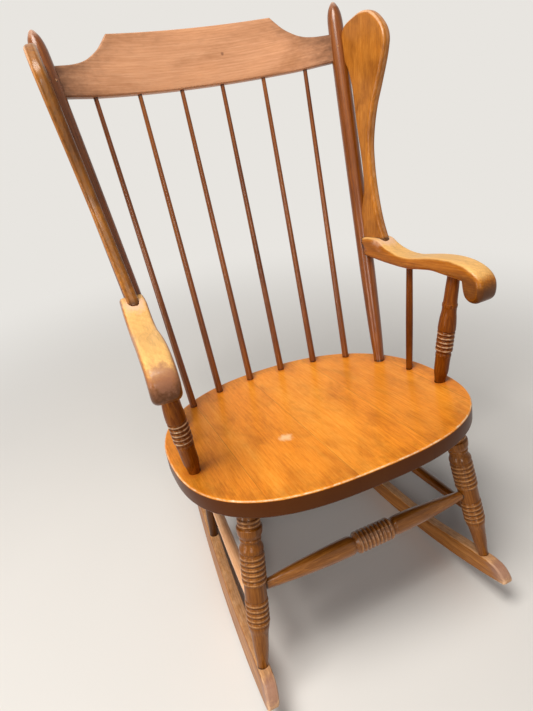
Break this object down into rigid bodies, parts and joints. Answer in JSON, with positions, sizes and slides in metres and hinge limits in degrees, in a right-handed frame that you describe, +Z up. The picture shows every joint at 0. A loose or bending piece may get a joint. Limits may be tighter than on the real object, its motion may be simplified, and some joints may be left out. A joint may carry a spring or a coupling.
{
  "type": "boston rocking chair",
  "caption": "Varnished wooden rocking chair with a plank seat, spindle back, scrolled arms, side wings and turned legs on long curved rockers.",
  "frame": {"origin": "on the floor under the middle of the chair's overall box, with the chair at rest on its rockers", "axes": "+X to the right as seen from the front, +Y to the back of the chair, +Z up"},
  "size_m": [0.6294, 0.7584, 1.051],
  "materials": {
    "seat_wood": "glossy clear varnish, worn at the front edge",
    "crest_wood": "satin varnish, horizontal grain",
    "turned_wood": "glossy reddish brown varnish",
    "leg_wood": "glossy brown varnish, worn on the ring crests",
    "arm_wood": "glossy varnish, rubbed pale on top",
    "wing_wood": "glossy varnish, lighter on the edges",
    "rocker_wood": "satin varnish, worn edges and a scuffed toe",
    "dowel_wood": "plain beech, hidden in the joints"
  },
  "bodies": {
    "root": {"seat": "seat_wood", "crest_rail": "crest_wood", "back_spindle_1": "turned_wood", "back_spindle_2": "turned_wood", "back_spindle_3": "turned_wood", "back_spindle_4": "turned_wood", "back_spindle_5": "turned_wood", "back_spindle_6": "turned_wood", "front_stretcher": "leg_wood", "rear_stretcher": "leg_wood", "back_post_left": "turned_wood", "crest_pin_left": "dowel_wood", "arm_left": "arm_wood", "arm_post_left": "turned_wood", "arm_spindle_left": "turned_wood", "wing_left": "wing_wood", "wing_foot_dowel_left": "dowel_wood", "wing_head_dowel_left": "dowel_wood", "front_leg_left": "leg_wood", "rear_leg_left": "leg_wood", "side_stretcher_left": "leg_wood", "rocker_left": "rocker_wood", "back_post_right": "turned_wood", "crest_pin_right": "dowel_wood", "arm_right": "arm_wood", "arm_post_right": "turned_wood", "arm_spindle_right": "turned_wood", "wing_right": "wing_wood", "wing_foot_dowel_right": "dowel_wood", "wing_head_dowel_right": "dowel_wood", "front_leg_right": "leg_wood", "rear_leg_right": "leg_wood", "side_stretcher_right": "leg_wood", "rocker_right": "rocker_wood"}
  },
  "joints": []
}
